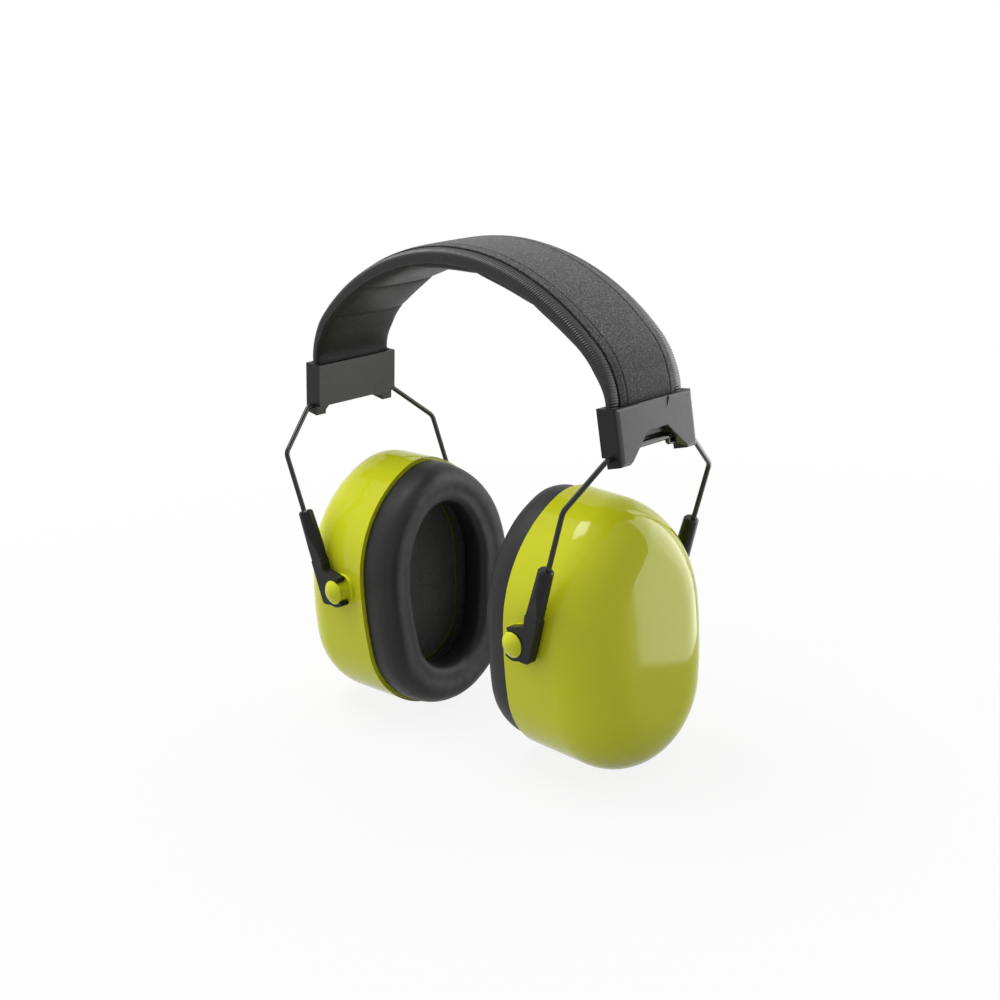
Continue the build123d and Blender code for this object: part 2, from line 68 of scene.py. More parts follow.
# ---------------------------------------------------------------- sizes the frame doesn't give
# headband
HAUNCH_START = math.radians(45.0)     # the band's crown arc turns into the tighter haunch arc here
BAND_HALF = 20.0 * MM
BAND_END_HALF = 19.1 * MM
BAND_TAPER_RISE = 40.0 * MM           # the band widens over this height above the brackets
CROWN_THICKNESS = 9.8 * MM
NEAR_THICKNESS = 7.6 * MM             # just above the brackets, where the padding bulges
END_THICKNESS = 4.7 * MM              # inside the brackets
BULGE_LENGTH = 16.0 * MM
CREASES = np.array([-150.0, -78.0, -52.0, -19.5, 19.5, 52.0, 78.0, 150.0]) * MM   # along the padding
PILLOW_RISE = 2.0 * MM                # from a crease to the top of a pillow
PANEL_HALF = 15.6 * MM                # outer fabric panel, to the start of the ribbed binding
PANEL_THICKNESS = 1.1 * MM
SEAM_HALF = 12.2 * MM
SEAM_DEPTH = 0.35 * MM
SEAM_WIDTH = 0.7 * MM
STITCH_PITCH = 2.6 * MM
STITCH_LENGTH = 2.0 * MM
THREAD_RADIUS = 0.17 * MM
THREAD_PITCH = 0.62 * MM               # of the fabric's weave
RIB_PITCH = 1.05 * MM
RIB_HEIGHT = 0.42 * MM
BINDING_THICKNESS = 0.8 * MM

# ear cups
CUP_HALF_WIDTH = 37.1 * MM
CUP_RISE = 45.1 * MM
CUP_DROP = 59.8 * MM
CUP_TOP_RADIUS = 22.0 * MM
CUP_BOTTOM_RADIUS = 35.0 * MM
WIDEST_Z = 3.4 * MM
CUP_LEAN = {"right": math.radians(4.2), "left": math.radians(-0.7)}
PIN_X = 50.5 * MM
PLATE_FACE_X = 38.7 * MM
CUSHION_INSET = 1.4 * MM
CUSHION_WIDTH = 16.2 * MM
OPENING_TOP_RADIUS = 15.0 * MM
OPENING_BOTTOM_RADIUS = 17.0 * MM
LINER_FACE_X = 46.5 * MM
LINER_INSET = 3.4 * MM
LINER_DEPTH = 16.0 * MM

# the levels of x between which the brackets turn from their darker inner tone to their lighter outer tone
BRACKET_FACES = (80.5 * MM, 83.5 * MM)

# the photograph's camera, about the level of the bails' hinges
CAMERA_AZIMUTH = math.radians(45.806)
CAMERA_ELEVATION = math.radians(15.279)
CAMERA_ROLL = math.radians(-3.0714)
CAMERA_DISTANCE = 681.42 * MM
CAMERA_SIDE = 4.660 * MM
CAMERA_RISE = -30.059 * MM
CAMERA_TARGET_Z = 67.9 * MM
CAMERA_SENSOR = 36.0
CAMERA_LENS = 63.1435


# ---------------------------------------------------------------- mesh helpers
def new_piece(name, points, faces):
    """A smooth-shaded mesh object from points and faces, with its normals outward."""
    mesh = bpy.data.meshes.new(name)
    mesh.from_pydata(np.asarray(points).reshape(-1, 3).tolist(), [], faces)
    tidy = bmesh.new()
    tidy.from_mesh(mesh)
    bmesh.ops.recalc_face_normals(tidy, faces=tidy.faces)
    tidy.to_mesh(mesh)
    tidy.free()
    mesh.shade_smooth()
    piece = bpy.data.objects.new(name, mesh)
    bpy.context.scene.collection.objects.link(piece)
    return piece


def ring_faces(rings, around, closed):
    """Quads that join closed loops of points one after another, with caps where they don't close."""
    faces = []
    for i in range(rings if closed else rings - 1):
        a, b = i * around, ((i + 1) % rings) * around
        faces += [(a + j, a + (j + 1) % around, b + (j + 1) % around, b + j) for j in range(around)]
    if not closed:
        last = (rings - 1) * around
        faces += [tuple(range(around)), tuple(range(last, last + around))]
    return faces


def skin(name, rings, closed=False):
    """A closed solid through loops of points, given as an array of rings by points by 3."""
    rings = np.asarray(rings)
    return new_piece(name, rings, ring_faces(rings.shape[0], rings.shape[1], closed))


def mark(piece, name, values):
    """Stores a number for each vertex, which a material can read."""
    layer = piece.data.attributes.new(name, "FLOAT", "POINT")
    layer.data.foreach_set("value", np.asarray(values, np.float32).ravel())


def smooth_step(x):
    """0 to 1 with level ends, as x goes from 0 to 1."""
    x = np.clip(x, 0.0, 1.0)
    return x * x * (3 - 2 * x)


# ---------------------------------------------------------------- headband
outer_low, outer_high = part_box("headband_outer_cover")
BAND_SPAN = outer_high.x
BAND_CROWN_Z = outer_high.z
BAND_END_Z = outer_low.z
BRACKET_TOP_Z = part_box("right_bracket")[1].z

turn = HAUNCH_START
share = (1 - math.cos(turn)) / math.sin(turn)
rise = BAND_CROWN_Z - BRACKET_TOP_Z
HAUNCH_RADIUS = (rise - BAND_SPAN * share) / (1 - share)
CROWN_RADIUS = HAUNCH_RADIUS + (BAND_SPAN - HAUNCH_RADIUS) / math.sin(turn)
CROWN_LENGTH = CROWN_RADIUS * turn
HAUNCH_LENGTH = HAUNCH_RADIUS * (math.pi / 2 - turn)
BAND_REACH = CROWN_LENGTH + HAUNCH_LENGTH + BRACKET_TOP_Z - BAND_END_Z


def arch(s):
    """Points and outward directions of the band's outer arch, at distances s from its crown."""
    d = np.abs(s)
    crown = np.minimum(d, CROWN_LENGTH) / CROWN_RADIUS
    haunch = np.clip(d - CROWN_LENGTH, 0, HAUNCH_LENGTH) / HAUNCH_RADIUS
    straight = np.maximum(d - CROWN_LENGTH - HAUNCH_LENGTH, 0)
    angle = crown + haunch
    x = CROWN_RADIUS * np.sin(crown) + HAUNCH_RADIUS * (np.sin(angle) - np.sin(crown))
    z = CROWN_RADIUS * (np.cos(crown) - 1) + HAUNCH_RADIUS * (np.cos(angle) - np.cos(crown))
    side = np.sign(s)
    point = np.stack([side * x, np.zeros_like(x), BAND_CROWN_Z + z - straight], axis=-1)
    out = np.stack([side * np.sin(angle), np.zeros_like(x), np.cos(angle)], axis=-1)
    return point, out


def band_half(z):
    """Half the band's width at a level: it widens above the brackets."""
    up = np.clip((z - BRACKET_TOP_Z) / BAND_TAPER_RISE, 0, 1)
    return BAND_END_HALF + (BAND_HALF - BAND_END_HALF) * smooth_step(up)


def band_thickness(s):
    """The padding swells as it leaves the brackets and thickens on towards the crown."""
    above = CROWN_LENGTH + HAUNCH_LENGTH - np.abs(s)
    bulge = (NEAR_THICKNESS - END_THICKNESS) * smooth_step(above / BULGE_LENGTH)
    return END_THICKNESS + bulge + (CROWN_THICKNESS - NEAR_THICKNESS) * smooth_step(above / CROWN_LENGTH)


def on_band(s, v, h):
    """Points at v across and h outward from the outer arch, where v and h have a row for each s."""
    point, out = arch(s)
    across = np.array([0.0, 1.0, 0.0])
    return point[:, None, :] + v[..., None] * across + h[..., None] * out[:, None, :]


def pillow(s):
    """0 in a quilting crease and 1 on top of a pillow."""
    after = np.searchsorted(CREASES, s)
    low, high = CREASES[after - 1], CREASES[after]
    place = (s - low) / (high - low)
    return np.sqrt(np.clip(1 - np.abs(2 * place - 1) ** 2.4, 0, 1))


def pad_section(s, angle):
    """Section of the padding at s: v and h at angles round it, from the outer side over the edges."""
    half = band_half(arch(s)[0][:, 2])[:, None]
    thick = band_thickness(s)[:, None]
    cos, sin = np.cos(angle)[None, :], np.sin(angle)[None, :]
    n = np.where(sin > 0, 5.0, 3.4)
    radius = (np.abs(cos) ** n + np.abs(sin) ** n) ** (-1 / n)
    mid = (thick + PANEL_THICKNESS) / 2
    v = half * radius * cos
    h = -mid + (thick - PANEL_THICKNESS) / 2 * radius * sin
    room = np.clip((thick - END_THICKNESS) / (CROWN_THICKNESS - END_THICKNESS), 0, 1)
    under = smooth_step(-1.6 * sin - 0.2)
    crease = (1 - pillow(s))[:, None] * (1 - 0.3 * np.abs(v / half) ** 6)
    return v, h + PILLOW_RISE * room * under * (crease - 0.12)


def make_pad():
    """The foam padding with its leatherette underside, quilted into pillows."""
    s = np.linspace(-BAND_REACH, BAND_REACH, 560)
    angle = np.linspace(0, 2 * math.pi, 96, endpoint=False)
    v, h = pad_section(s, angle)
    pad = skin("headband_pad", on_band(s, v, h))
    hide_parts("headband_inner_cover", "headband_foam")
    return pad


def make_panel():
    """The outer fabric panel with its two sewn grooves."""
    s = np.linspace(-BAND_REACH, BAND_REACH, 420)
    squeeze = (band_half(arch(s)[0][:, 2]) / BAND_HALF)[:, None]
    across = np.linspace(-1, 1, 121) * PANEL_HALF
    groove = np.exp(-((np.abs(across) - SEAM_HALF) / (SEAM_WIDTH / 2)) ** 2)
    swell = 0.12 * MM * np.cos(across / SEAM_HALF * math.pi / 2)
    tuck = 0.35 * MM * smooth_step((np.abs(across) - SEAM_HALF) / (PANEL_HALF - SEAM_HALF))
    top = swell - SEAM_DEPTH * groove - tuck
    v = np.concatenate([across, across[::-1]])
    h = np.concatenate([top, np.full_like(top, -PANEL_THICKNESS)])
    v = v[None, :] * squeeze
    h = np.broadcast_to(h, v.shape)
    panel = skin("headband_outer_panel", on_band(s, v, h))
    mark(panel, "along", np.broadcast_to(s[:, None], v.shape))
    mark(panel, "across", v)
    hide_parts("headband_outer_cover")
    return panel


def make_binding(name, side):
    """The ribbed binding sewn round one edge of the band."""
    count = int(2 * BAND_REACH / RIB_PITCH) * 6
    s = np.linspace(-BAND_REACH, BAND_REACH, count)
    across = np.linspace(0, 1, 15)
    start, end = math.radians(52), math.radians(-14)
    angle = start + (end - start) * across
    if side < 0:
        angle = math.pi - angle
    v, h = pad_section(s, angle)
    dv, dh = np.gradient(v, axis=1), np.gradient(h, axis=1)
    size = np.hypot(dv, dh) * side
    nv, nh = -dh / size, dv / size
    lean = 0.9 * RIB_PITCH * across[None, :]
    rib = np.abs(np.sin(math.pi * (s[:, None] + lean) / RIB_PITCH)) ** 0.7
    fade = np.sin(math.pi * np.clip(across, 0, 1)) ** 0.35
    lift = 0.35 * BINDING_THICKNESS + RIB_HEIGHT * rib * fade[None, :]
    outer_v, outer_h = v + nv * lift, h + nh * lift
    inner_v, inner_h = v - nv * BINDING_THICKNESS * 0.6, h - nh * BINDING_THICKNESS * 0.6
    loop_v = np.concatenate([outer_v, inner_v[:, ::-1]], axis=1)
    loop_h = np.concatenate([outer_h, inner_h[:, ::-1]], axis=1)
    binding = skin(name, on_band(s, loop_v, loop_h))
    mark(binding, "along", np.broadcast_to(s[:, None], loop_v.shape))
    mark(binding, "across", loop_v - loop_h)
    return binding


def make_stitches():
    """Short thread stitches lying in the outer panel's two seam grooves."""
    count = int(2 * BAND_REACH / STITCH_PITCH)
    around = np.linspace(0, 2 * math.pi, 8, endpoint=False)
    points, faces = [], []
    for side in (1.0, -1.0):
        for k in range(count):
            middle = -BAND_REACH + (k + 0.5) * STITCH_PITCH
            share = np.array([-1.0, -0.9, -0.5, 0.0, 0.5, 0.9, 1.0])
            s = middle + share * STITCH_LENGTH / 2
            thick = THREAD_RADIUS * np.array([0.2, 0.6, 0.95, 1.0, 0.95, 0.6, 0.2])
            sink = -SEAM_DEPTH + THREAD_RADIUS * (0.6 - 1.6 * np.abs(share) ** 3)
            squeeze = band_half(arch(s)[0][:, 2]) / BAND_HALF
            v = (side * SEAM_HALF * squeeze)[:, None] + thick[:, None] * np.cos(around)
            h = sink[:, None] + thick[:, None] * np.sin(around)
            first = len(points) * len(around)
            points += list(on_band(s, v, h))
            faces += [tuple(first + i for i in f) for f in ring_faces(len(s), len(around), False)]
    stitches = new_piece("headband_stitches", np.array(points), faces)
    return stitches


def make_headband():
    """The dressed headband: padding, outer panel, both bindings and the stitches."""
    pad = make_pad()
    panel = make_panel()
    front = make_binding("headband_front_binding", -1.0)
    rear = make_binding("headband_rear_binding", 1.0)
    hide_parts("headband_front_edge_roll")
    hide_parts("headband_rear_edge_roll")
    return pad, panel, front, rear, make_stitches()


# ---------------------------------------------------------------- cups
def oval(count, half, ends):
    """Points of an outline in the YZ plane, from tangent arcs, evenly spaced by their direction."""
    arcs = []
    for (reach, end_r), up in zip(ends, (1.0, -1.0)):
        end_c = reach - end_r
        side_r = (half ** 2 + end_c ** 2 - end_r ** 2) / (2 * (half - end_r))
        side_c = half - side_r
        arcs.append((side_r, side_c, end_r, end_c, math.atan2(end_c, -side_c), up))
    points = []
    for k in range(count):
        t = 2 * math.pi * k / count
        y_sign = 1.0 if math.cos(t) >= 0 else -1.0
        side_r, side_c, end_r, end_c, knee, up = arcs[0] if math.sin(t) >= 0 else arcs[1]
        a = math.asin(min(abs(math.sin(t)), 1.0))
        if a < knee:
            y, z = side_c + side_r * math.cos(a), side_r * math.sin(a)
        else:
            y, z = end_r * math.cos(a), end_c + end_r * math.sin(a)
        points.append((y_sign * y, WIDEST_Z + up * z))
    return np.array(points)


def egg(count, inset):
    """The rim's outline, smaller by an inset."""
    top = (CUP_RISE - inset, CUP_TOP_RADIUS - inset)
    bottom = (CUP_DROP - inset, CUP_BOTTOM_RADIUS - inset)
    return oval(count, CUP_HALF_WIDTH - inset, (top, bottom))


def ear_opening(count):
    """The outline of the cushion's opening."""
    inset = CUSHION_INSET + CUSHION_WIDTH
    ends = (CUP_RISE - inset, OPENING_TOP_RADIUS), (CUP_DROP - inset, OPENING_BOTTOM_RADIUS)
    return oval(count, CUP_HALF_WIDTH - inset, ends)


def place_cup(points, side):
    """Takes points of an upright right-hand cup to where that side's cup hangs."""
    points = np.array(points, float)
    a = CUP_LEAN[side]
    x, z = points[..., 0] - PIN_X, points[..., 2].copy()
    points[..., 0] = PIN_X + x * math.cos(a) + z * math.sin(a)
    points[..., 2] = -x * math.sin(a) + z * math.cos(a)
    points[..., 0] *= SIDES[side]
    return points


def cushion_profile():
    """Section of the cushion: distance in from its outline, and height off the carrier plate."""
    knots = np.array([
        (0.35, -1.4), (0.1, 0.4), (0.0, 3.2), (0.2, 6.2), (1.1, 9.0), (3.0, 11.3), (5.5, 12.4),
        (8.0, 12.2), (9.9, 11.6), (11.6, 11.3), (13.1, 11.2), (14.7, 10.6), (15.8, 9.2),
        (16.2, 7.2), (16.2, 4.5), (16.0, 1.8), (15.6, 0.0),
    ]) * MM
    t = np.concatenate([[0], np.cumsum(np.hypot(*np.diff(knots, axis=0).T))])
    fine = np.linspace(0, t[-1], 56)
    return np.stack([np.interp(fine, t, knots[:, 0]), np.interp(fine, t, knots[:, 1])], axis=1)


def ripple(points, pitch, seed):
    """Smooth unevenness between about -1 and 1, from waves in random directions."""
    chance = np.random.default_rng(seed)
    total = np.zeros(points.shape[:-1])
    waves = 12
    for _ in range(waves):
        way = chance.normal(size=3)
        way *= 2 * math.pi / pitch / np.linalg.norm(way) * chance.uniform(0.6, 1.5)
        total += np.sin(points @ way + chance.uniform(0, 2 * math.pi))
    return total / math.sqrt(waves)


def make_cushion(side):
    """The ring cushion: an outer roll, a shallow valley and an inner lip, a little uneven as foam is."""
    count = 360
    outline, opening = egg(count, CUSHION_INSET), ear_opening(count)
    profile = cushion_profile()
    for _ in range(2):
        profile[1:-1] = (profile[:-2] + 2 * profile[1:-1] + profile[2:]) / 4
    share = (profile[:, 0] / CUSHION_WIDTH)[None, :, None]
    flat = outline[:, None, :] + (opening - outline)[:, None, :] * share
    height = np.broadcast_to(profile[:, 1], flat.shape[:2])
    points = np.stack([PLATE_FACE_X - height, flat[..., 0], flat[..., 1]], axis=-1)
    free = smooth_step(height / (3 * MM))
    sag = 0.16 * MM * free * ripple(points, 24 * MM, 5)
    dimples = 0.04 * MM * free * ripple(points, 7 * MM, 6)
    points[..., 0] += sag + dimples
    cushion = skin(f"{side}_cushion", place_cup(points, side), closed=True)
    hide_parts(f"{side}_ear_cushion_skin", f"{side}_ear_cushion_foam")
    return cushion


def make_liner(side):
    """The sound-absorbing foam behind the ear space: a soft block with open pores in its face."""
    count, steps = 240, 46
    outline = egg(count, LINER_INSET)
    middle = np.array([0.0, WIDEST_Z - (CUP_DROP - CUP_RISE) / 2])
    share = np.linspace(0.03, 1.0, steps)
    flat = middle + (outline - middle)[None] * share[:, None, None]
    edge = smooth_step((1 - share) / 0.12)[:, None]
    x = np.broadcast_to(LINER_FACE_X + 1.2 * MM * (1 - edge), flat.shape[:2])
    face = np.stack([x, flat[..., 0], flat[..., 1]], axis=-1)
    face[..., 0] += 0.25 * MM + 0.25 * MM * ripple(face, 14 * MM, 8) * edge
    face[..., 0] += 0.18 * MM * np.abs(ripple(face, 2.2 * MM, 9)) * edge
    back = []
    for deep, shrink in ((0.4, 1.0), (0.8, 0.98), (1.0, 0.92), (1.0, 0.03)):
        ring = middle + (outline - middle) * shrink
        back.append(np.column_stack([np.full(count, LINER_FACE_X + deep * LINER_DEPTH), ring]))
    liner = skin(f"{side}_foam_pad", place_cup(np.concatenate([face, back]), side))
    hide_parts(f"{side}_foam_liner")
    return liner


# ---------------------------------------------------------------- materials
def material(name):
    """A new material with its node tree and its shader."""
    made = bpy.data.materials.new(name)
    made.use_nodes = True
    shader = made.node_tree.nodes["Principled BSDF"]
    return made, made.node_tree, shader


def node(tree, kind, **settings):
    """A new node, with each setting given to the input or the property of that name."""
    made = tree.nodes.new(kind)
    for key, value in settings.items():
        if key in made.inputs:
            made.inputs[key].default_value = value
        else:
            setattr(made, key, value)
    return made


def put_on(piece, made):
    piece.data.materials.clear()
    piece.data.materials.append(made)


def noise(tree, scale, detail=3.0, stretch=None):
    """Noise in the object's own coordinates, with its scale in features per metre."""
    where = node(tree, "ShaderNodeTexCoord").outputs["Object"]
    if stretch:
        mapping = node(tree, "ShaderNodeMapping", Scale=stretch)
        tree.links.new(where, mapping.inputs["Vector"])
        where = mapping.outputs["Vector"]
    made = node(tree, "ShaderNodeTexNoise", Scale=scale, Detail=detail)
    tree.links.new(where, made.inputs["Vector"])
    return made.outputs["Fac"]


def cells(tree, scale, feature="F1", output="Distance"):
    """Voronoi cells in the object's own coordinates."""
    where = node(tree, "ShaderNodeTexCoord")
    made = node(tree, "ShaderNodeTexVoronoi", feature=feature, Scale=scale)
    tree.links.new(where.outputs["Object"], made.inputs["Vector"])
    return made.outputs[output]


def spread(tree, value, low, high, start=0.0, end=1.0):
    """Carries a value from start..end over to low..high."""
    made = node(tree, "ShaderNodeMapRange")
    for name, number in (("From Min", start), ("From Max", end), ("To Min", low), ("To Max", high)):
        made.inputs[name].default_value = number
    tree.links.new(value, made.inputs["Value"])
    return made.outputs["Result"]


def blend(tree, share, first, second):
    """Mixes two colours by a share."""
    made = node(tree, "ShaderNodeMix", data_type="RGBA")
    tree.links.new(share, made.inputs["Factor"])
    for socket, colour in ((made.inputs[6], first), (made.inputs[7], second)):
        if isinstance(colour, tuple):
            socket.default_value = (*colour, 1)
        else:
            tree.links.new(colour, socket)
    return made.outputs[2]


def math_of(tree, operation, first, second):
    """One sum on two values, each a number or a socket."""
    made = node(tree, "ShaderNodeMath", operation=operation)
    for socket, value in zip(made.inputs, (first, second)):
        if isinstance(value, (int, float)):
            socket.default_value = value
        else:
            tree.links.new(value, socket)
    return made.outputs[0]


def raise_by(tree, shader, *layers):
    """Stacks bumps on a shader, each from a height, its strength and its depth in metres."""
    below = None
    for height, strength, depth in layers:
        made = node(tree, "ShaderNodeBump", Strength=strength, Distance=depth)
        tree.links.new(height, made.inputs["Height"])
        if below:
            tree.links.new(below, made.inputs["Normal"])
        below = made.outputs["Normal"]
    tree.links.new(below, shader.inputs["Normal"])


def finish_of(name, colour, roughness, specular):
    """A new material with its shader's colour and roughness fed by sockets, and a set specular level."""
    made, tree, shader = material(name)
    shader.inputs["Specular IOR Level"].default_value = specular
    tree.links.new(colour(tree), shader.inputs["Base Color"])
    tree.links.new(roughness(tree), shader.inputs["Roughness"])
    return made, tree, shader


def lime_gloss(name, dark, light):
    """Glossy moulded plastic: faint flow marks in the colour, orange peel and a few fine scuffs."""
    made, tree, shader = finish_of(
        name,
        lambda t: blend(t, noise(t, 30.0), dark, light),
        lambda t: math_of(t, "ADD", spread(t, noise(t, 55.0), 0.07, 0.12),
                          spread(t, noise(t, 260.0, 4.0, (1, 1, 9)), 0.0, 0.07, 0.58, 0.72)),
        0.18)
    raise_by(tree, shader, (noise(tree, 110.0, 1.0), 0.35, 0.00004), (noise(tree, 1700.0), 0.05, 0.00002))
    return made


def black_satin():
    """Moulded nylon with a fine spark-eroded grain."""
    made, tree, shader = finish_of(
        "black_nylon_satin",
        lambda t: blend(t, noise(t, 120.0), (0.007, 0.007, 0.0072), (0.014, 0.014, 0.0138)),
        lambda t: spread(t, noise(t, 420.0), 0.24, 0.4),
        0.2)
    raise_by(tree, shader, (cells(tree, 2600.0), 0.25, 0.00004), (noise(tree, 300.0), 0.15, 0.00006))
    return made


def grey_satin():
    """The brackets: grey outer faces, darker inner faces, and the ends and other faces that don't face
    sideways painted almost black as painted shade.
    """
    made, tree, shader = material("bracket_grey_satin")
    where = node(tree, "ShaderNodeTexCoord")
    parts, place = node(tree, "ShaderNodeSeparateXYZ"), node(tree, "ShaderNodeSeparateXYZ")
    tree.links.new(where.outputs["Normal"], parts.inputs[0])
    tree.links.new(where.outputs["Object"], place.inputs[0])
    # faces that don't face sideways, such as the ends, are painted almost black by which way they face:
    # painted shade
    painted_end_shade = spread(tree, math_of(tree, "ABSOLUTE", parts.outputs["X"], 0.0), 0.0, 1.0, 0.35, 0.85)
    outer = spread(tree, math_of(tree, "ABSOLUTE", place.outputs["X"], 0.0), 0.0, 1.0, *BRACKET_FACES)
    mottle = noise(tree, 500.0)
    face = blend(tree, outer, blend(tree, mottle, (0.028, 0.028, 0.027), (0.038, 0.038, 0.037)),
                 blend(tree, mottle, (0.098, 0.098, 0.103), (0.124, 0.123, 0.13)))
    tree.links.new(blend(tree, painted_end_shade, (0.010, 0.010, 0.0095), face), shader.inputs["Base Color"])
    tree.links.new(spread(tree, noise(tree, 700.0), 0.3, 0.46), shader.inputs["Roughness"])
    shader.inputs["Specular IOR Level"].default_value = 0.2
    raise_by(tree, shader, (cells(tree, 2200.0), 0.3, 0.00005), (noise(tree, 200.0), 0.1, 0.00006))
    return made


def wire_black():
    """Blackened spring wire with faint drawing marks."""
    made, tree, shader = finish_of(
        "blackened_wire",
        lambda t: blend(t, noise(t, 400.0), (0.010, 0.013, 0.010), (0.022, 0.026, 0.021)),
        lambda t: spread(t, noise(t, 900.0), 0.14, 0.26),
        0.3)
    raise_by(tree, shader, (noise(tree, 1500.0), 0.12, 0.00003))
    return made


def strip_steel():
    """Bare spring steel with slow changes in shine."""
    made, _, shader = finish_of(
        "spring_steel_strip",
        lambda t: blend(t, noise(t, 300.0), (0.44, 0.44, 0.45), (0.56, 0.56, 0.57)),
        lambda t: spread(t, noise(t, 800.0), 0.24, 0.38),
        0.5)
    shader.inputs["Metallic"].default_value = 1.0
    return made


def woven(name, dark, light, spark):
    """Dense fine weave laid out along and across the band, with pale specks painted in as glints of single
    threads (painted highlights).
    """
    made, tree, shader = material(name)
    along = node(tree, "ShaderNodeAttribute", attribute_name="along").outputs["Fac"]
    across = node(tree, "ShaderNodeAttribute", attribute_name="across").outputs["Fac"]
    threads = []
    for first, second in ((along, across), (across, along)):
        slant = math_of(tree, "ADD", first, math_of(tree, "MULTIPLY", second, 0.18))
        turn_ = math_of(tree, "MULTIPLY", slant, 2 * math.pi / THREAD_PITCH)
        threads.append(math_of(tree, "SINE", turn_, 0.0))
    weave = math_of(tree, "MULTIPLY", *threads)
    grain = noise(tree, 2600.0, 4.0)
    tone = math_of(tree, "ADD", spread(tree, weave, 0.0, 0.35, -1.0, 1.0), spread(tree, grain, 0.0, 0.65))
    worn = spread(tree, noise(tree, 60.0), -0.12, 0.12)
    cloth = blend(tree, math_of(tree, "ADD", tone, worn), dark, light)
    # pale specks painted into the colour as glints of single threads: painted highlights in the colour
    # spark
    painted_glint = spread(tree, cells(tree, 3200.0, output="Color"), 0.0, 0.9, 0.55, 1.0)
    tree.links.new(blend(tree, painted_glint, cloth, spark), shader.inputs["Base Color"])
    tree.links.new(spread(tree, grain, 0.55, 0.85), shader.inputs["Roughness"])
    shader.inputs["Specular IOR Level"].default_value = 0.2
    shader.inputs["Sheen Weight"].default_value = 0.3
    shader.inputs["Sheen Roughness"].default_value = 0.4
    raise_by(tree, shader, (weave, 0.5, 0.00008), (grain, 0.7, 0.00012))
    return made


def ribbed_tape():
    """Tightly ribbed tape with a faint shine along each rib."""
    made, tree, shader = finish_of(
        "binding_ribbed_tape",
        lambda t: blend(t, noise(t, 900.0, 4.0), (0.008, 0.008, 0.0085), (0.022, 0.022, 0.0225)),
        lambda t: spread(t, noise(t, 300.0), 0.34, 0.5),
        0.42)
    raise_by(tree, shader, (noise(tree, 2600.0), 0.4, 0.00006))
    return made


def leather(name, dark, light, grain_scale, roughness, specular, depth):
    """Soft plastic skin with pebbled grain and slow variation in tone and gloss."""
    made, tree, shader = finish_of(
        name,
        lambda t: blend(t, noise(t, 45.0, 5.0), dark, light),
        lambda t: spread(t, noise(t, 160.0), roughness - 0.07, roughness + 0.07),
        specular)
    pebble = spread(tree, cells(tree, grain_scale, "DISTANCE_TO_EDGE"), 0.0, 1.0, 0.0, 0.25)
    raise_by(tree, shader, (pebble, 0.45, depth), (noise(tree, grain_scale * 2.5), 0.3, depth * 0.6),
             (noise(tree, 130.0), 0.25, 0.0002))
    return made


def open_foam():
    """Dark open-cell foam: pores painted darker than the struts, as painted shade in the pores."""
    made, tree, shader = material("liner_foam_open_cell")
    # the cells give the pores' depth in the bump, and also paint the pores darker than the struts: painted
    # shade in the pores
    pore_depth_and_shade = spread(tree, cells(tree, 1700.0), 0.0, 1.0, 0.1, 0.65)
    fine = noise(tree, 2600.0, 4.0)
    tone = math_of(tree, "MULTIPLY", pore_depth_and_shade, spread(tree, fine, 0.4, 1.0))
    tree.links.new(blend(tree, tone, (0.09, 0.09, 0.082), (0.17, 0.17, 0.155)), shader.inputs["Base Color"])
    tree.links.new(spread(tree, fine, 0.85, 1.0), shader.inputs["Roughness"])
    shader.inputs["Specular IOR Level"].default_value = 0.15
    raise_by(tree, shader, (pore_depth_and_shade, 0.7, 0.0003), (fine, 0.4, 0.0001))
    return made


# ---------------------------------------------------------------- put together
lime = lime_gloss("lime_plastic_gloss", (0.58, 0.61, 0.014), (0.64, 0.67, 0.02))
# a darker copy of the lime for the trim rings deep inside the cups: painted shade
lime_painted_shade = lime_gloss("lime_trim_painted_shade", (0.16, 0.17, 0.008), (0.2, 0.21, 0.01))
black = black_satin()
steel = strip_steel()
# the last colour of each weave is that of its painted glints
fabric = woven("band_fabric_grain", (0.007, 0.007, 0.0074), (0.028, 0.028, 0.029), (0.2, 0.2, 0.205))
binding_cloth = ribbed_tape()
thread = woven("stitch_thread", (0.012, 0.012, 0.012), (0.045, 0.045, 0.046), (0.08, 0.08, 0.08))
leatherette = leather("band_leatherette_soft", (0.008, 0.008, 0.0082), (0.0135, 0.0135, 0.0138),
                      1100.0, 0.44, 0.17, 0.00012)
pvc = leather("cushion_pvc_pebbled", (0.011, 0.011, 0.011), (0.018, 0.018, 0.0184),
              1700.0, 0.48, 0.3, 0.00007)
foam = open_foam()

FINISH = {
    "lime_plastic": lime, "black_plastic": black, "grey_plastic": grey_satin(), "bail_wire": wire_black(),
    "spring_steel": steel, "band_fabric": fabric, "band_leatherette": leatherette,
    "cushion_skin": pvc, "soft_foam": foam, "liner_foam": foam,
}
for part in frame["record"]["subparts"]:
    put_on(nodes[part["node"]], FINISH[part["material_slot"]])
for side in SIDES:
    put_on(nodes[f"{side}_liner_trim_ring"], lime_painted_shade)

pad, panel, front_binding, rear_binding, stitches = make_headband()
put_on(pad, leatherette)
put_on(panel, fabric)
put_on(stitches, thread)
for piece in (front_binding, rear_binding):
    put_on(piece, binding_cloth)
for piece in (pad, panel, front_binding, rear_binding, stitches):
    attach(piece, "headband")

for side in SIDES:
    cushion, liner = make_cushion(side), make_liner(side)
    put_on(cushion, pvc)
    put_on(liner, foam)
    for piece in (cushion, liner):
        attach(piece, f"{side}_cup")


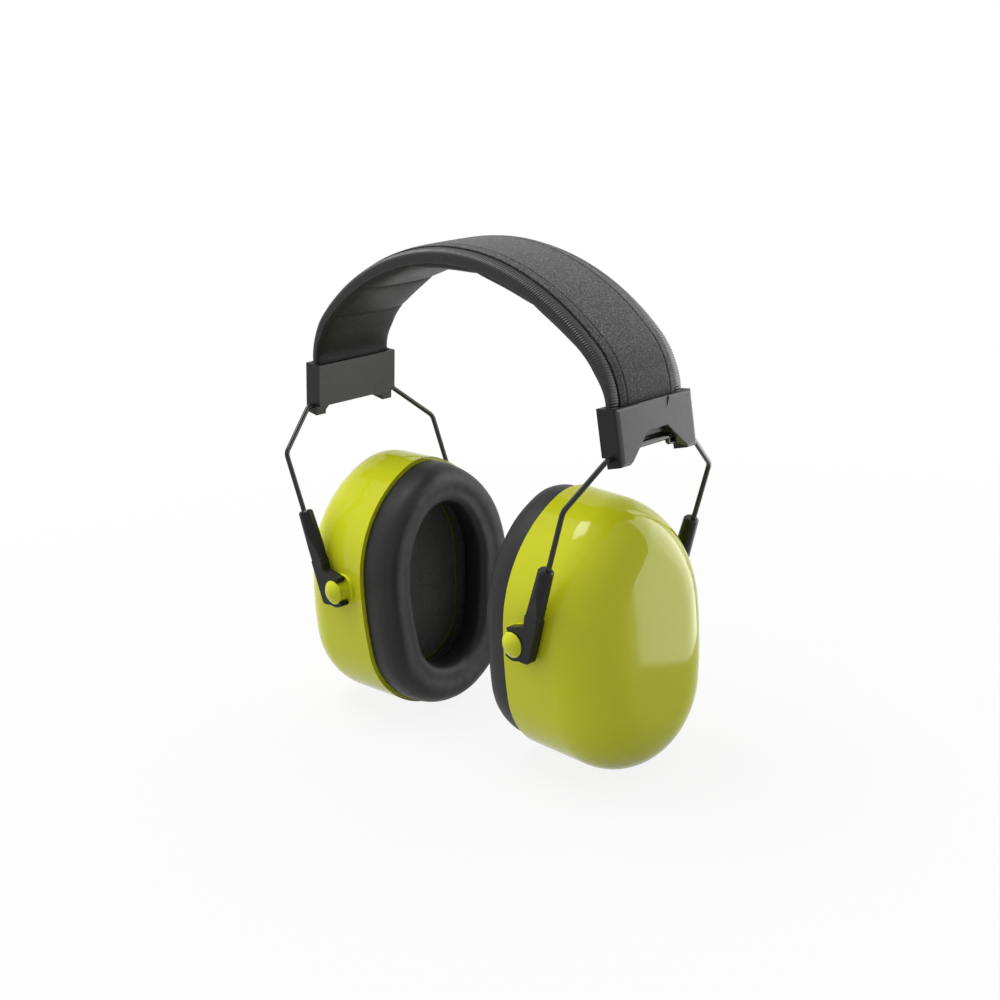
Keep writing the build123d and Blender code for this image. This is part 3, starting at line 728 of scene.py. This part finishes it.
# ---------------------------------------------------------------- studio
def make_camera():
    """The photograph's camera, from its place and its turn."""
    a, e, r = CAMERA_AZIMUTH, CAMERA_ELEVATION, CAMERA_ROLL
    back = Vector((math.sin(a) * math.cos(e), -math.cos(a) * math.cos(e), math.sin(e)))
    level = Vector((math.cos(a), math.sin(a), 0))
    upward = back.cross(level)
    x_axis = math.cos(r) * level + math.sin(r) * upward
    y_axis = math.cos(r) * upward - math.sin(r) * level
    data = bpy.data.cameras.new("camera")
    data.sensor_fit = "HORIZONTAL"
    data.sensor_width = CAMERA_SENSOR
    data.lens = CAMERA_LENS
    camera = bpy.data.objects.new("camera", data)
    turned = Matrix((x_axis, y_axis, back)).transposed().to_4x4()
    place = CAMERA_SIDE * x_axis + CAMERA_RISE * y_axis + CAMERA_DISTANCE * back
    camera.matrix_world = Matrix.Translation(place + Vector((0, 0, CAMERA_TARGET_Z))) @ turned
    bpy.context.scene.collection.objects.link(camera)
    bpy.context.scene.camera = camera


# the floor: half its size, its tone, and how it whitens with distance where it is seen
FLOOR_HALF = 1.6
FLOOR_TONE = 0.52
FLOOR_WHITENS = (0.1, 0.5)
FLOOR_SEEN = (0.88, 1.0)

# the sky's fill comes from behind and above, and is weakest from the camera's side
FILL_FROM = (-0.66, 0.32, 0.68)
FILL_LOW = 0.0
FILL_HIGH = 1.1
FILL_TURNS = (-0.4, 0.4)


def make_lamp(name, place, target, size, power, lights=True):
    """A rectangular softbox.  One that doesn't light the scene only shows in glossy surfaces."""
    data = bpy.data.lights.new(name, "AREA")
    data.shape = "RECTANGLE"
    data.size, data.size_y = size
    data.energy = power
    lamp = bpy.data.objects.new(name, data)
    aim = (Vector(target) - Vector(place)).to_track_quat("-Z", "Y")
    lamp.matrix_world = Matrix.Translation(place) @ aim.to_matrix().to_4x4()
    lamp.visible_camera = False
    lamp.visible_diffuse = lights
    bpy.context.scene.collection.objects.link(lamp)


def make_world():
    """A soft fill that lights the object, under a white that is only seen."""
    world = bpy.data.worlds.new("studio")
    bpy.context.scene.world = world
    world.use_nodes = True
    tree = world.node_tree
    tree.nodes.clear()
    path = node(tree, "ShaderNodeLightPath")
    seen = math_of(tree, "MAXIMUM", path.outputs["Is Camera Ray"], path.outputs["Is Glossy Ray"])
    through = math_of(tree, "MAXIMUM", seen, path.outputs["Is Transmission Ray"])
    where = node(tree, "ShaderNodeTexCoord")
    towards = node(tree, "ShaderNodeVectorMath", operation="DOT_PRODUCT")
    towards.inputs[1].default_value = Vector(FILL_FROM).normalized()
    tree.links.new(where.outputs["Generated"], towards.inputs[0])
    fill = node(tree, "ShaderNodeBackground", Color=(1, 1, 1, 1))
    tree.links.new(spread(tree, towards.outputs["Value"], FILL_LOW, FILL_HIGH, *FILL_TURNS),
                   fill.inputs["Strength"])
    white = node(tree, "ShaderNodeBackground", Color=(1, 1, 1, 1), Strength=1.0)
    mixed = node(tree, "ShaderNodeMixShader")
    tree.links.new(through, mixed.inputs["Fac"])
    tree.links.new(fill.outputs[0], mixed.inputs[1])
    tree.links.new(white.outputs[0], mixed.inputs[2])
    out = node(tree, "ShaderNodeOutputWorld")
    tree.links.new(mixed.outputs[0], out.inputs["Surface"])


def make_floor():
    """A pale floor at the object's lowest level, which takes its shadow."""
    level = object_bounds()[0].z
    size = FLOOR_HALF
    corners = [(-size, -size, level), (size, -size, level), (size, size, level), (-size, size, level)]
    floor = new_piece("floor", corners, [(0, 1, 2, 3)])
    made, tree, shader = material("pale_floor")
    shader.inputs["Base Color"].default_value = (FLOOR_TONE, FLOOR_TONE, FLOOR_TONE, 1)
    shader.inputs["Roughness"].default_value = 0.9
    shader.inputs["Specular IOR Level"].default_value = 0.1
    path = node(tree, "ShaderNodeLightPath")
    white = node(tree, "ShaderNodeEmission", Color=(1, 1, 1, 1), Strength=1.0)
    where = node(tree, "ShaderNodeTexCoord")
    far = node(tree, "ShaderNodeVectorMath", operation="LENGTH")
    tree.links.new(where.outputs["Object"], far.inputs[0])
    fade = spread(tree, far.outputs["Value"], *FLOOR_SEEN, *FLOOR_WHITENS)
    looked_at = math_of(tree, "MAXIMUM", path.outputs["Is Camera Ray"], path.outputs["Is Glossy Ray"])
    seen = math_of(tree, "MULTIPLY", looked_at, fade)
    mixed = node(tree, "ShaderNodeMixShader")
    out = tree.nodes["Material Output"]
    tree.links.new(seen, mixed.inputs["Fac"])
    tree.links.new(shader.outputs[0], mixed.inputs[1])
    tree.links.new(white.outputs[0], mixed.inputs[2])
    tree.links.new(mixed.outputs[0], out.inputs["Surface"])
    put_on(floor, made)


make_camera()
make_lamp("overhead_softbox", (-0.36, -0.08, 0.96), (-0.1, -0.02, 0.0), (0.55, 0.35), 7.7)
make_lamp("right_softbox", (0.16, 0.60, 0.10), (0.07, 0, 0.0), (0.6, 0.5), 0.6)
make_lamp("right_reflector", (0.132, 0.132, 0.05), (0.062, 0.02, 0.05), (0.135, 0.4), 0.7, lights=False)
make_world()
make_floor()
bpy.context.scene.view_settings.view_transform = "Standard"
